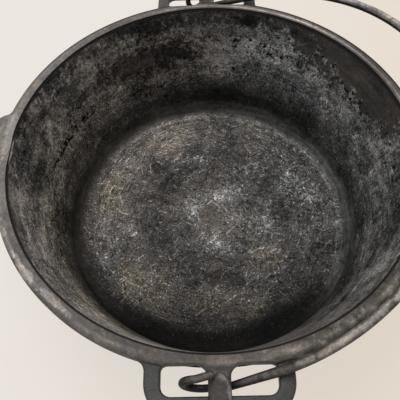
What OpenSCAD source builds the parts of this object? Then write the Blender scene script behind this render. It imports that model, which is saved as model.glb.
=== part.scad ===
// Cast-iron dutch oven pot with two double-loop ears, two pour spouts and a wire bail.
// The origin is the centre of the underside and +Z is up. The front ear is at -Y, and the
// bail lies over to +X.

/* [Pot] */
// Height of the rim's top face above the table
pot_h = 95.5; // [70:0.5:130]
// Outside diameter of the rim
rim_d = 260; // [240:1:300]
// Width of the rim's top, from its outer edge to the lid seat
rim_w = 7.4; // [6:0.1:10]
// Thickness of the rim
rim_t = 7.5; // [6:0.1:12]
// Height of the inside floor above the table
floor_t = 4.5; // [3:0.1:10]
// Thickness of the side wall
wall_t = 4.5; // [3:0.1:5.5]
// How far the inside wall leans in for each millimetre of depth
wall_lean = 0.2056; // [0.05:0.001:0.3]
// Radius of the inside cove between wall and floor
cove_r = 8; // [3:0.5:20]
// Radius of the outside edge of the base
base_edge_r = 14; // [6:0.5:16]

/* [Rim edge] */
// Depth of the lid seat under the rim's top face
seat_h = 1.2; // [0.5:0.1:3]
// Width of the lid seat's ledge
seat_w = 0.8; // [0.4:0.1:2]
// Width of the rim's sloping outer band
slope_w = 3.6; // [2:0.1:5]
// Slope of the rim's outer band, in degrees
slope_a = 12; // [8:1:35]
// Radius of the rim's outer corners
rim_edge_r = 0.8; // [0.4:0.1:2]
// Radius of the fillet under the rim
under_rim_r = 3; // [1:0.1:4]

/* [Ears] */
// Width of each ear
ear_w = 72; // [64:1:90]
// How far each ear reaches out from the rim
ear_reach = 20; // [19:0.5:28]
// Thickness of each ear
ear_t = 5.3; // [4:0.1:5.3]
// How far the ear's top lies under the rim's top
ear_drop = 2.2; // [2.2:0.1:3]
// Radius of the ear's outer corners
ear_corner_r = 16; // [8:0.5:19]
// Radius of the fillet between ear and rim
ear_root_r = 6; // [2:0.5:8]
// Width of the ear's two legs
leg_w = 8; // [6:0.1:10]
// Width of the ear's outer bar
bar_w = 9.4; // [7:0.1:11]
// How far the ear's openings cut into the rim
bite = 3.5; // [2:0.1:3.6]
// Radius of the openings' outer corners
loop_corner_r = 5; // [2:0.1:6]
// Radius of the openings' inner corners beside the legs
loop_root_r = 3; // [1:0.1:3]
// Radius of the openings' inner corners beside the neck
neck_r = 6; // [2:0.5:7]
// Width of the rim's neck between the two openings
neck_w = 11; // [9:0.1:12]

/* [Bail lugs] */
// Width of each lug
lug_w = 11.2; // [8:0.1:11.6]
// Height of each lug's section
lug_h = 8.3; // [7:0.1:9]
// Radius of the lug section's corners
lug_corner_r = 3; // [2.5:0.1:3.5]
// Radius of the lug's crest
crest_r = 2.5; // [1:0.1:3]
// Gap between the rim's edge and the lug's raised crest
crest_gap = 0.7; // [0.3:0.1:1.5]
// How far the lug's foot stops short of the ear's outer edge
foot_gap = 1.5; // [0.5:0.1:4]
// Height of the lug's foot where it ends on the ear
foot_h = 0.8; // [0.4:0.1:2]

/* [Bail] */
// Diameter of the bow's wire
wire_d = 4.8; // [4.2:0.1:5]
// Diameter of the hooks' wire, which the shanks taper down to
hook_d = 3.8; // [3:0.1:4.2]
// How much slimmer the wire is where it's bent
bend_thin = 0.1; // [0.06:0.02:0.3]
// Gap between the rim's edge and the bow's centre line
bow_gap = 3.9; // [3:0.1:20]
// Distance from the pivot line to the centre of the bow
bow_offset = -1.2; // [-5:0.1:10]
// Distance from the pivot line to the lower end of the bow
shank_u = 25; // [15:1:40]
// Length of the straight shank below the bow
shank_l = 22; // [2:0.5:22]
// Radius of the bend between shank and hook
shank_bend_r = 15; // [8:1:20]
// Angle of the resting bail above the horizontal
bail_lean = 21; // [21:1:80]
// Height of the pivot line, from the rim's top face
pivot_rise = -1.3; // [-1.5:0.1:1]
// Running gap between hook and lug
hook_gap = 0.3; // [0.2:0.05:1]
// Length of the front hook behind the pivot line
front_hook_l = 10.3; // [6:0.1:12]
// Length of the rear hook behind the pivot line
rear_hook_l = 6; // [6:0.1:12]
// How far each hook's tip stops short of the pivot line
tip_u = 1.5; // [0:0.1:2]
// Sideways step of each hook's end turn, towards the pot
hook_step = 1.9; // [1:0.1:2.2]
// Angle at which each hook's tip turns towards the pot
tip_a = 10; // [2:1:12]
// Radius of the bend before the tip
tip_bend_r = 15; // [8:1:20]

/* [Spouts] */
// How far each spout reaches out from the rim
spout_reach = 15; // [8:0.5:18]
// Radius of the spout's lip
spout_r = 32; // [26:0.5:40]
// Radius of the fillet between spout and rim
spout_root_r = 6; // [2:0.5:8]
// Thickness of the spout at its lip
lip_t = 4; // [3:0.1:5]
// Depth of the pouring channel
channel_h = 1.6; // [0.5:0.1:2]
// Radius of the pouring channel
channel_r = 70; // [30:1:90]

/* [Hidden] */
$fn = 96;
iron = "#3b3937";
steel = "#6b6662";
// How far a cut runs past the surface it opens
past = 1;

rim_r = rim_d/2;
rim_z = pot_h - rim_t;
flat_r = rim_r - slope_w;
seat_r = rim_r - rim_w;
wall_top_r = seat_r - seat_w;
wall_top_z = pot_h - seat_h;
ear_top = pot_h - ear_drop;
ear_z = ear_top - ear_t;
ear_end = rim_r + ear_reach;
loop_in = rim_r - bite;
loop_out = ear_end - bar_w;
loop_half = ear_w/2 - leg_w;
pivot_z = pot_h + pivot_rise;

// Angle of the wall from upright, and how far an arc of radius 1 reaches along the wall
wall_a = atan(wall_lean);
corner_k = tan((90 - wall_a)/2);

function wall_in(z) = wall_top_r - (wall_top_z - z)*wall_lean;
function wall_out(z) = wall_in(z) + wall_t;
function arc(c, r, from, to, steps) =
  [for (i = [0:steps]) c + r*[cos(from + (to - from)*i/steps), sin(from + (to - from)*i/steps)]];

// Farthest point of the lug's section from the pivot line
lug_far = norm([lug_w/2 - lug_corner_r, lug_h/2 - lug_corner_r]) + lug_corner_r;
// Distance from the pivot line to the centre line of each hook strand
strand = lug_far + hook_gap + hook_d/2;

// The bail is drawn lying flat, with x along its lean, y along the pivot line and z across
bow_r = rim_r + bow_gap;
bow_a = acos((shank_u - bow_offset)/bow_r);
bow_end = [shank_u, -bow_r*sin(bow_a)];
shank_end = bow_end - shank_l*[sin(bow_a), cos(bow_a)];
bend_c = shank_end + shank_bend_r*[-cos(bow_a), sin(bow_a)];
hook_y = bend_c[1] - shank_bend_r;
turn_r = norm([strand, hook_step/2]);
turn_tilt = atan2(hook_step, 2*strand);
// How far the straights run on over the wide bends, and over the hook's tight one
lap = 1;
hook_lap = 0.4;

module bowl_profile() {
  base_c = [wall_out(0) - corner_k*base_edge_r, base_edge_r];
  cove_c = [wall_in(floor_t) - corner_k*cove_r, floor_t + cove_r];
  under_z = rim_z - under_rim_r;
  under_c = [wall_out(under_z) + under_rim_r/cos(wall_a), under_z];
  polygon(concat(
    [[0, 0]],
    arc(base_c, base_edge_r, -90, -wall_a, 10),
    arc(under_c, under_rim_r, 180 - wall_a, 90, 6),
    [[wall_in(rim_z), rim_z]],
    arc(cove_c, cove_r, -wall_a, -90, 8),
    [[0, floor_t]]));
}

module bowl() {
  color(iron) rotate_extrude($fn = 180) bowl_profile();
}

module rim_profile() {
  edge_x = rim_r - rim_edge_r;
  edge_z = pot_h - (edge_x + rim_edge_r*sin(slope_a) - flat_r)*tan(slope_a) - rim_edge_r*cos(slope_a);
  polygon(concat(
    [[wall_in(rim_z), rim_z]],
    arc([edge_x, rim_z + rim_edge_r], rim_edge_r, -90, 0, 4),
    arc([edge_x, edge_z], rim_edge_r, 0, 90 - slope_a, 4),
    [[flat_r, pot_h], [seat_r, pot_h], [seat_r, wall_top_z], [wall_top_r, wall_top_z]]));
}

module rim_ring() {
  rotate_extrude($fn = 180) rim_profile();
}

// What a rounded corner at p takes away, where d points from p into the open side
module corner_waste(p, d, r) {
  difference() {
    translate(p + [min(d[0], 0), min(d[1], 0)]*r) square(r);
    translate(p + d*r) circle(r);
  }
}

// Joins half an outline to its mirror image across x = 0
function both(half) = concat(half, [for (i = [len(half) - 1:-1:0]) [-half[i][0], half[i][1]]]);

// The two openings of an ear, with y out from the pot
module ear_openings() {
  outer = [loop_half - loop_corner_r, loop_out - loop_corner_r];
  inner = [loop_half - loop_root_r, loop_in + loop_root_r];
  neck = [neck_w/2 + neck_r, loop_in + neck_r];
  for (side = [0, 1]) mirror([side, 0]) polygon(concat(
    [[neck_w/2, loop_out]],
    arc(outer, loop_corner_r, 90, 0, 8),
    arc(inner, loop_root_r, 0, -90, 6),
    arc(neck, neck_r, -90, -180, 8)));
}

// What both openings and the neck between them take out of the rim, with y out from the pot
module ear_cut() {
  inner = [loop_half - loop_root_r, loop_in + loop_root_r];
  polygon(both(concat(arc(inner, loop_root_r, -90, 0, 6), [[loop_half, loop_out]])));
}

module ear_outline() {
  root_x = ear_w/2 + ear_root_r;
  root_y = sqrt(pow(rim_r + ear_root_r, 2) - root_x*root_x);
  touch = [root_x, root_y]*rim_r/(rim_r + ear_root_r);
  corner = [ear_w/2 - ear_corner_r, ear_end - ear_corner_r];
  polygon(both(concat(
    [[touch[0], rim_r - ear_reach], touch],
    arc([root_x, root_y], ear_root_r, 180 + atan2(root_y, root_x), 180, 8),
    arc(corner, ear_corner_r, 0, 90, 16))));
}

// An ear that points out along +Y
module ear() {
  color(iron) translate([0, 0, ear_z]) linear_extrude(ear_t) difference() {
    ear_outline();
    ear_openings();
    translate([-neck_w/2 - past, rim_r - past]) square([neck_w + 2*past, loop_out - rim_r + past]);
    circle(rim_r, $fn = 180);
  }
}

module front_ear() {
  mirror([0, 1, 0]) ear();
}

module rear_ear() {
  ear();
}

// Rounded block that the lug is cut from, along +Y
module lug_bar(from, to) {
  translate([0, to, pivot_z]) rotate([90, 0, 0]) linear_extrude(to - from) difference() {
    square([lug_w, lug_h], center = true);
    for (x = [-1, 1], z = [-1, 1])
      corner_waste([x*lug_w/2, z*lug_h/2], [-x, -z], lug_corner_r);
  }
}

// The rim's neck between the two openings of an ear at +Y
module neck() {
  intersection() {
    rim_ring();
    translate([0, 0, rim_z - past]) linear_extrude(rim_t + 2*past) difference() {
      translate([-neck_w/2 - neck_r, loop_in]) square([neck_w + 2*neck_r, bite + past]);
      ear_openings();
    }
  }
}

// A lug that bridges the openings of an ear along +Y, with the neck that it stands on
module lug() {
  crest_z = pivot_z + lug_h/2;
  crest = [rim_r + crest_gap + crest_r, crest_z - crest_r];
  foot = [ear_end - foot_gap, ear_top + foot_h];
  slope_from = atan2(foot[1] - crest[1], foot[0] - crest[0]) + acos(crest_r/norm(foot - crest));
  neck_z = pot_h - slope_w*tan(slope_a);
  nose_l = loop_out - rim_r - crest_gap;
  color(iron) difference() {
    union() {
      neck();
      intersection() {
        lug_bar(loop_in, loop_out + past);
        translate([-lug_w/2, loop_in, 0]) cube([lug_w, loop_out - loop_in, neck_z]);
      }
      intersection() {
        lug_bar(loop_in, foot[0]);
        translate([-lug_w/2, 0, 0]) rotate([90, 0, 90]) linear_extrude(lug_w)
          polygon(concat(
            [[foot[0], 0], foot],
            arc(crest, crest_r, slope_from, 180, 8),
            [[crest[0] - crest_r, 0]]));
        linear_extrude(crest_z + past)
          polygon(concat(
            [for (a = [180:12:360]) [lug_w/2*cos(a), loop_out + nose_l*sin(a)]],
            [[lug_w/2, ear_end], [-lug_w/2, ear_end]]));
      }
    }
    translate([-lug_w, loop_out, 0]) cube([2*lug_w, bar_w + past, ear_top]);
  }
}

module front_bail_lug() {
  mirror([0, 1, 0]) lug();
}

module rear_bail_lug() {
  lug();
}

module spout_outline() {
  c = rim_r + spout_reach - spout_r;
  far = rim_r + spout_root_r;
  near = spout_r + spout_root_r;
  root_x = (far*far - near*near + c*c)/(2*c);
  root = [root_x, sqrt(far*far - root_x*root_x)];
  to_lip = atan2(root[1], root[0] - c);
  to_rim = atan2(root[1], root[0]);
  half = concat(
    [[root[0]*flat_r/far - past, root[1]*rim_r/far]],
    arc(root, spout_root_r, 180 + to_rim, 180 + to_lip, 8),
    arc([c, 0], spout_r, to_lip, 0, 24));
  difference() {
    polygon(concat(half, [for (i = [len(half) - 2:-1:0]) [half[i][0], -half[i][1]]]));
    circle(flat_r, $fn = 180);
  }
}

module channel() {
  translate([wall_top_r - past, 0, pot_h - channel_h + channel_r]) rotate([0, 90, 0])
    cylinder(r = channel_r, h = seat_w + rim_w + spout_reach + 2*past, $fn = 180);
}

// A spout that points out along +X
module spout() {
  tip = rim_r + spout_reach;
  color(iron) difference() {
    translate([0, 0, rim_z]) linear_extrude(rim_t) spout_outline();
    translate([0, spout_r + past, 0]) rotate([90, 0, 0]) linear_extrude(2*spout_r + 2*past)
      polygon([[rim_r, 0], [tip + past, 0], [tip + past, pot_h - lip_t], [rim_r, rim_z]]);
    channel();
  }
}

module right_spout() {
  spout();
}

module left_spout() {
  mirror([1, 0, 0]) spout();
}

module rim() {
  color(iron) difference() {
    rim_ring();
    for (side = [0, 1]) {
      mirror([0, side, 0]) translate([0, 0, rim_z - past]) linear_extrude(rim_t + 2*past)
        ear_cut();
      mirror([side, 0, 0]) channel();
      mirror([side, 0, 0]) translate([0, 0, rim_z - past]) linear_extrude(rim_t + 2*past)
        spout_outline();
    }
  }
}

// A level bend of wire around the point c, from angle a over a turn t
module wire_bend(c, r, a, t, d) {
  translate(c) rotate([0, 0, a]) rotate_extrude(angle = t, $fn = 180)
    translate([r, 0]) circle(d = d - bend_thin, $fn = 32);
}

// A straight of wire from p along the level direction a, with each end run on over a bend
module wire_run(p, a, l, d_1, d_2, lap_1, lap_2) {
  translate(p) rotate([0, 0, a]) translate([-lap_1, 0, 0]) rotate([0, 90, 0])
    cylinder(d1 = d_1, d2 = d_2, h = l + lap_1 + lap_2, $fn = 32);
}

// The hook's last straight from p along the level direction a, with a round end
module wire_tip(p, a, l) {
  translate(p) rotate([0, 0, a]) rotate([0, 90, 0]) rotate_extrude($fn = 32)
    polygon(concat([[0, -hook_lap], [hook_d/2, -hook_lap]], arc([0, l], hook_d/2, 0, 90, 6)));
}

// The end of the bail on the -Y side: shank, bend and hook
module bail_end(hook_l) {
  top_y = hook_y + hook_step;
  tip_bend_c = [-hook_l, top_y + tip_bend_r, strand];
  tip_from = tip_bend_c + tip_bend_r*[sin(tip_a), -cos(tip_a), 0];
  tip_l = (-tip_u - tip_from[0])/cos(tip_a);
  wire_run([bow_end[0], bow_end[1], -strand], -90 - bow_a, shank_l, wire_d, hook_d, lap, lap);
  wire_bend([bend_c[0], bend_c[1], -strand], shank_bend_r, -90, 90 - bow_a, hook_d);
  wire_run([-hook_l, hook_y, -strand], 0, bend_c[0] + hook_l, hook_d, hook_d, hook_lap, hook_lap);
  translate([-hook_l, (hook_y + top_y)/2, 0])
    rotate([-turn_tilt, 0, 0]) rotate([0, 90, 0]) rotate([-90, 0, 0])
    rotate_extrude(angle = 180, $fn = 96) translate([turn_r, 0])
    circle(d = hook_d - bend_thin, $fn = 32);
  wire_bend(tip_bend_c, tip_bend_r, -90, tip_a, hook_d);
  wire_run([-hook_l, top_y, strand], 0, 0, hook_d, hook_d, hook_lap, hook_lap);
  wire_tip(tip_from, tip_a, tip_l);
}

module bail() {
  color(steel) translate([0, 0, pivot_z]) rotate([0, -bail_lean, 0]) {
    wire_bend([bow_offset, 0, -strand], bow_r, -bow_a, 2*bow_a, wire_d);
    bail_end(front_hook_l);
    mirror([0, 1, 0]) bail_end(rear_hook_l);
  }
}

bowl();
rim();
left_spout();
right_spout();
front_ear();
rear_ear();
front_bail_lug();
rear_bail_lug();
bail();
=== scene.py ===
"""A cast-iron dutch oven pot with two double-loop ears, two pour spouts and a wire bail.

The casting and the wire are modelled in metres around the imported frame, whose sizes they
share. The front ear is at -Y, and the bail lies over to +X.
"""

import math

import bmesh
import bpy
from bpy.props import FloatProperty, FloatVectorProperty, PointerProperty
from mathutils import Matrix, Vector, noise


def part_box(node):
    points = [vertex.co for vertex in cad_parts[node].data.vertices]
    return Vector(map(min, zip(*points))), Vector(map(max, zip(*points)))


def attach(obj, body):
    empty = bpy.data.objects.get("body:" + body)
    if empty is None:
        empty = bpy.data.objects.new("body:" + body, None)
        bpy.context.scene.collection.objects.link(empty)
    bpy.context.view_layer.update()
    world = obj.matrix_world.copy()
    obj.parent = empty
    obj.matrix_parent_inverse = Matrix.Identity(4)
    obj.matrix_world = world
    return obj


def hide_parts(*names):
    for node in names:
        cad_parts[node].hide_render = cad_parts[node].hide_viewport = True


bl_info = {
    "name": "Dutch Oven",
    "version": (1, 0, 0),
    "blender": (4, 5, 0),
    "location": "3D View > Sidebar > Dutch Oven",
    "description": "Models a cast-iron dutch oven pot with its bail, and the stage it stands on",
    "category": "Add Mesh",
}

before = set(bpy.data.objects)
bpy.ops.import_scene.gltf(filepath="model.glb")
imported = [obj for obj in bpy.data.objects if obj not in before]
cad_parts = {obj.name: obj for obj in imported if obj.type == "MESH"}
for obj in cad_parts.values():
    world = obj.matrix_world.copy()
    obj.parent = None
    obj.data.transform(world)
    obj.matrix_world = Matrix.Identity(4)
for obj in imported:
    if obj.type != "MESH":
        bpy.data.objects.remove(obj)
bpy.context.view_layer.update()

MM = 0.001
RIM_LOW, RIM_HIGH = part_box("rim")
EAR_LOW, EAR_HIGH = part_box("rear_ear")
SPOUT_REACH = 15 * MM
RIM_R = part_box("right_spout")[1].x - SPOUT_REACH


def length(name, description, default):
    """A size in metres that the user can change."""
    return FloatProperty(name=name, description=description, default=default, unit="LENGTH", precision=5)


def tint(name, description, red, green, blue):
    """A colour that the user can change, given as it looks on a screen, from 0 to 255."""
    return FloatVectorProperty(
        name=name, description=description, subtype="COLOR", size=3, min=0, max=1,
        default=[linear(part) for part in (red, green, blue)])


def linear(part):
    """The linear share of light for one screen value from 0 to 255."""
    share = part / 255
    return share / 12.92 if share <= 0.04045 else ((share + 0.055) / 1.055) ** 2.4


class PotSizes(bpy.types.PropertyGroup):
    """Sizes of the bowl, the rim and the spouts."""

    pot_h: length("Height", "Height of the rim's top above the table", RIM_HIGH.z)
    rim_r: length("Rim radius", "Outside radius of the rim", RIM_R)
    rim_w: length("Rim width", "Width of the rim's top, with its sloping band", 7.4 * MM)
    rim_t: length("Rim thickness", "Thickness of the rim", RIM_HIGH.z - RIM_LOW.z)
    floor_t: length("Floor thickness", "Height of the inside floor above the table", 4.5 * MM)
    wall_t: length("Wall thickness", "Thickness of the side wall", 4.5 * MM)
    wall_lean: FloatProperty(
        name="Wall lean", description="How far the wall leans in for each metre of depth",
        default=0.2056)
    cove_r: length("Cove radius", "Radius of the inside cove between wall and floor", 8 * MM)
    base_edge_r: length("Base edge radius", "Radius of the outside edge of the base", 14 * MM)
    seat_h: length("Lid seat depth", "Depth of the lid seat under the rim's top", 1.2 * MM)
    seat_w: length("Lid seat width", "Width of the lid seat's ledge", 0.8 * MM)
    slope_w: length("Slope width", "Width of the rim's sloping outer band", 3.6 * MM)
    slope_a: FloatProperty(
        name="Slope", description="Slope of the rim's outer band", subtype="ANGLE",
        default=math.radians(12))
    edge_r: length("Edge radius", "Radius of the rim's outer corners", 0.8 * MM)
    under_rim_r: length("Under-rim radius", "Radius of the fillet under the rim", 3 * MM)
    spout_reach: length("Spout reach", "How far a spout reaches out of the rim", SPOUT_REACH)
    spout_r: length("Spout radius", "Radius of a spout's lip", 32 * MM)
    spout_root_r: length("Spout root radius", "Radius of the fillet between spout and rim", 6 * MM)
    lip_t: length("Lip thickness", "Thickness of a spout at its lip", 4 * MM)
    channel_h: length("Channel depth", "Depth of the pouring channel", 1.6 * MM)
    channel_r: length("Channel radius", "Radius of the pouring channel", 70 * MM)


class EarSizes(bpy.types.PropertyGroup):
    """Sizes of the two ears and the bail lugs on them."""

    ear_w: length("Ear width", "Width of each ear", 72 * MM)
    ear_reach: length("Ear reach", "How far each ear reaches out from the rim", EAR_HIGH.y - RIM_R)
    ear_z: length("Ear underside", "Height of the ear's underside", EAR_LOW.z)
    ear_top: length("Ear top", "Height of the ear's top face", EAR_HIGH.z)
    corner_r: length("Ear corner radius", "Radius of the ear's outer corners", 16 * MM)
    root_r: length("Ear root radius", "Radius of the fillet between ear and rim", 6 * MM)
    leg_w: length("Leg width", "Width of the ear's two legs", 8 * MM)
    bar_w: length("Bar width", "Width of the ear's outer bar", 9.4 * MM)
    bite: length("Bite", "How far the ear's openings cut into the rim", 3.5 * MM)
    loop_corner_r: length("Loop corner radius", "Radius of the openings' outer corners", 5 * MM)
    loop_root_r: length("Loop root radius", "Radius of the openings' corners at the legs", 3 * MM)
    neck_w: length("Neck width", "Width of the rim's neck between the two openings", 11 * MM)
    neck_r: length("Neck radius", "Radius of the openings' corners at the neck", 6 * MM)
    lug_w: length("Lug width", "Width of each bail lug", 11.2 * MM)
    lug_h: length("Lug height", "Height of each bail lug's section", 8.3 * MM)
    lug_corner_r: length("Lug corner radius", "Radius of the lug section's corners", 3 * MM)
    crest_r: length("Crest radius", "Radius of the lug's crest", 2.5 * MM)
    crest_gap: length("Crest gap", "Gap between the rim's edge and the lug's crest", 0.7 * MM)
    foot_gap: length("Foot gap", "How far the lug's foot stops short of the ear's edge", 1.5 * MM)
    foot_h: length("Foot height", "Height of the lug's foot where it ends on the ear", 0.8 * MM)


class BailSizes(bpy.types.PropertyGroup):
    """Sizes of the wire bail and its two hooks."""

    wire_d: length("Wire", "Diameter of the bow's wire", 4.8 * MM)
    hook_d: length("Hook wire", "Diameter of the hooks' wire", 3.8 * MM)
    bow_gap: length("Bow gap", "Gap between the rim's edge and the bow's centre line", 3.9 * MM)
    bow_offset: length("Bow offset", "Distance from the pivot line to the bow's centre", -1.2 * MM)
    shank_u: length("Shank start", "Distance from the pivot line to the bow's end", 25 * MM)
    shank_l: length("Shank", "Length of the straight shank below the bow", 22 * MM)
    shank_bend_r: length("Shank bend", "Radius of the bend between shank and hook", 15 * MM)
    lean: FloatProperty(
        name="Lean", description="Angle of the resting bail above the horizontal",
        subtype="ANGLE", default=math.radians(21))
    pivot_rise: length("Pivot rise", "Height of the pivot line from the rim's top", -1.3 * MM)
    hook_gap: length("Hook gap", "Running gap between hook and lug", 0.3 * MM)
    front_hook_l: length("Front hook", "Length of the front hook behind the pivot line", 10.3 * MM)
    rear_hook_l: length("Rear hook", "Length of the rear hook behind the pivot line", 6 * MM)
    tip_u: length("Tip", "How far each hook's tip stops short of the pivot line", 1.5 * MM)
    hook_step: length("Hook step", "Sideways step of each hook's end turn", 1.9 * MM)
    tip_a: FloatProperty(
        name="Tip angle", description="Angle at which each hook's tip turns in", subtype="ANGLE",
        default=math.radians(10))
    tip_bend_r: length("Tip bend", "Radius of the bend before the tip", 15 * MM)


class StageLook(bpy.types.PropertyGroup):
    """The view of the pot, and the table, the lamps and the sky around it."""

    camera_turn: FloatProperty(
        name="Camera turn", description="How far the camera stands round the pot",
        subtype="ANGLE", default=0.018295)
    camera_rise: FloatProperty(
        name="Camera rise", description="How far the camera looks down", subtype="ANGLE",
        default=1.057203)
    camera_roll: FloatProperty(
        name="Camera roll", description="How far the camera leans", subtype="ANGLE",
        default=-0.039767)
    camera_away: length("Camera distance", "Distance of the camera from its aim", 266.17 * MM)
    aim_x: length("Aim X", "Where the camera aims on the rim's level, along X", -7.57 * MM)
    aim_y: length("Aim Y", "Where the camera aims on the rim's level, along Y", -38.11 * MM)
    view_angle: FloatProperty(
        name="View angle", description="The camera's angle of view", subtype="ANGLE",
        default=0.8006)
    table: tint("Table", "Colour of the table", 238, 232, 225)
    # Painted falloff of light: the table shades to this darker, warmer colour towards +X and the front
    table_dimmed: tint("Warm table", "Colour of the table towards its warm side", 234, 221, 205)
    sky: tint("Sky", "Colour of the light all around", 250, 250, 255)
    sky_strength: FloatProperty(
        name="Sky strength", description="Strength of the light all around", default=0.5)
    lamp_power: FloatProperty(
        name="Lamp", description="Power of the lamp overhead, in watts", default=6.0)
    table_glow: FloatProperty(
        name="Table glow", description="Share of its plain colour that the table shows to the camera",
        default=0.8)


class IronFinish(bpy.types.PropertyGroup):
    """Colours of the seasoned iron and the wire."""

    seasoning: tint("Seasoning", "Tint of the black seasoning", 255, 249, 243)
    brown: tint("Brown oil", "Tint of the baked-on oil", 255, 238, 222)
    oil: tint("Yellowed oil", "Tint of the old oil low on the wall", 255, 242, 222)
    tan: tint("Tan", "Tint of the worn tan patches", 255, 238, 214)
    bare: tint("Bare iron", "Tint of the bare iron", 249, 253, 251)


def sizes():
    """The three groups of sizes."""
    scene = bpy.context.scene
    return scene.pot_sizes, scene.ear_sizes, scene.bail_sizes


def arc(centre, radius, start, end, steps):
    """Points round a centre, from one angle to another in degrees."""
    turns = [math.radians(start + (end - start) * i / steps) for i in range(steps + 1)]
    return [(centre[0] + radius * math.cos(a), centre[1] + radius * math.sin(a)) for a in turns]


def line(start, end, steps):
    """Points along a straight from start to end, without the end itself."""
    return [tuple(a + (b - a) * i / steps for a, b in zip(start, end)) for i in range(steps)]


def wall_in(pot, z):
    """Radius of the inside wall at a height."""
    top_r = pot.rim_r - pot.rim_w - pot.seat_w
    return top_r - (pot.pot_h - pot.seat_h - z) * pot.wall_lean


def ripple(place, size, depth):
    """The casting's slight unevenness, always inwards, in metres."""
    return -depth * (0.5 + 0.5 * noise.noise(place / size))


def finish_mesh(name, bm, sharp=math.radians(38)):
    """Makes an object of a closed bmesh, with its normals out and smooth shading."""
    bmesh.ops.remove_doubles(bm, verts=bm.verts, dist=1e-6)
    bmesh.ops.recalc_face_normals(bm, faces=bm.faces)
    for face in bm.faces:
        face.smooth = True
    for edge in bm.edges:
        edge.smooth = len(edge.link_faces) != 2 or edge.calc_face_angle(0) < sharp
    mesh = bpy.data.meshes.new(name)
    bm.to_mesh(mesh)
    bm.free()
    piece = bpy.data.objects.new(name, mesh)
    bpy.context.scene.collection.objects.link(piece)
    return piece


def place_piece(piece, material, slot, body, *nodes):
    """Gives a piece its material, and puts it on a body in the place of CAD nodes. The slot is not used."""
    piece.data.materials.append(material)
    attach(piece, body)
    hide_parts(*nodes)


def spun(bm, outline, steps, angle=math.tau):
    """Spins an outline of (radius, height) points round Z. A row number stays on each vertex."""
    rows = bm.verts.layers.int.new("row")
    verts = [bm.verts.new((r, 0, z)) for r, z in outline]
    for number, vert in enumerate(verts):
        vert[rows] = number
    edges = [bm.edges.new(pair) for pair in zip(verts, verts[1:])]
    if outline[0][0] > 0:
        edges.append(bm.edges.new((verts[-1], verts[0])))
    bmesh.ops.spin(
        bm, geom=verts + edges, cent=(0, 0, 0), axis=(0, 0, 1), dvec=(0, 0, 0),
        angle=angle, steps=steps, use_merge=angle == math.tau, use_duplicate=False)
    bmesh.ops.remove_doubles(bm, verts=bm.verts, dist=1e-7)
    return rows


def bowl_outline(pot):
    """The bowl's section: underside, base edge, outside wall, fillet, inside wall, cove and floor."""
    rim_z = pot.pot_h - pot.rim_t
    lean = math.atan(pot.wall_lean)
    lean_deg = math.degrees(lean)
    corner = math.tan((math.pi / 2 - lean) / 2)
    base_c = (wall_in(pot, 0) + pot.wall_t - corner * pot.base_edge_r, pot.base_edge_r)
    cove_c = (wall_in(pot, pot.floor_t) - corner * pot.cove_r, pot.floor_t + pot.cove_r)
    under_z = rim_z - pot.under_rim_r
    under_c = (wall_in(pot, under_z) + pot.wall_t + pot.under_rim_r / math.cos(lean), under_z)
    base = arc(base_c, pot.base_edge_r, -90, -lean_deg, 12)
    under = arc(under_c, pot.under_rim_r, 180 - lean_deg, 90, 6)
    cove = arc(cove_c, pot.cove_r, -lean_deg, -90, 10)
    points = line((0, 0), base[0], 16) + base[:-1]
    points += line(base[-1], under[0], 12) + under
    points += line((wall_in(pot, rim_z), rim_z), cove[0], 22) + cove[:-1]
    points += line(cove[-1], (0, pot.floor_t), 24) + [(0, pot.floor_t)]
    return points


def make_bowl(pot):
    bm = bmesh.new()
    spun(bm, bowl_outline(pot), 256)
    rim_z = pot.pot_h - pot.rim_t
    for vert in bm.verts:
        radius = math.hypot(vert.co.x, vert.co.y)
        fade = min(1, vert.co.z / (2 * MM), (rim_z - vert.co.z) / (6 * MM))
        if radius > 1 * MM and fade > 0:
            push = ripple(vert.co, 26 * MM, 0.3 * MM) * fade
            if vert.co.z < pot.floor_t + 0.5 * MM:
                vert.co.z += push * 0.5
            else:
                vert.co.x += push * vert.co.x / radius
                vert.co.y += push * vert.co.y / radius
    return finish_mesh("bowl_casting", bm)


def first_hit(centre, radius, way):
    """How far a ray from the axis goes until it meets a circle, or None."""
    along = centre[0] * way[0] + centre[1] * way[1]
    rest = along * along - centre[0] ** 2 - centre[1] ** 2 + radius * radius
    return along - math.sqrt(rest) if rest > 0 else None


def spout_edge(pot, way, rim_r):
    """How far the rim reaches out at a spout, along a way in the first quarter."""
    centre_x = pot.rim_r + pot.spout_reach - pot.spout_r
    far = pot.rim_r + pot.spout_root_r
    near = pot.spout_r + pot.spout_root_r
    root_x = (far * far - near * near + centre_x * centre_x) / (2 * centre_x)
    root_y = math.sqrt(far * far - root_x * root_x)
    share = pot.spout_r / near
    tangent = (centre_x + (root_x - centre_x) * share, root_y * share)
    bearing = math.atan2(way[1], way[0])
    if bearing > math.atan2(root_y, root_x):
        return rim_r
    if bearing > math.atan2(tangent[1], tangent[0]):
        return first_hit((root_x, root_y), pot.spout_root_r, way) or rim_r
    along = centre_x * way[0]
    return along + math.sqrt(along * along - centre_x * centre_x + pot.spout_r ** 2)


def ear_edge(pot, ear, way):
    """How far the rim reaches out beside an ear's openings, along a way in the first quarter."""
    loop_in = pot.rim_r - ear.bite
    leg_x = ear.ear_w / 2 - ear.leg_w
    neck_c = (ear.neck_w / 2 + ear.neck_r, loop_in + ear.neck_r)
    leg_c = (leg_x - ear.loop_root_r, loop_in + ear.loop_root_r)
    reach = pot.rim_r
    if way[1] > 0:
        straight = loop_in / way[1]
        if neck_c[0] <= straight * way[0] <= leg_c[0]:
            reach = min(reach, straight)
    for centre, radius, side in ((neck_c, ear.neck_r, -1), (leg_c, ear.loop_root_r, 1)):
        hit = first_hit(centre, radius, way)
        if hit and (hit * way[0] - centre[0]) * side > 0:
            reach = min(reach, hit)
    return reach


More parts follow.
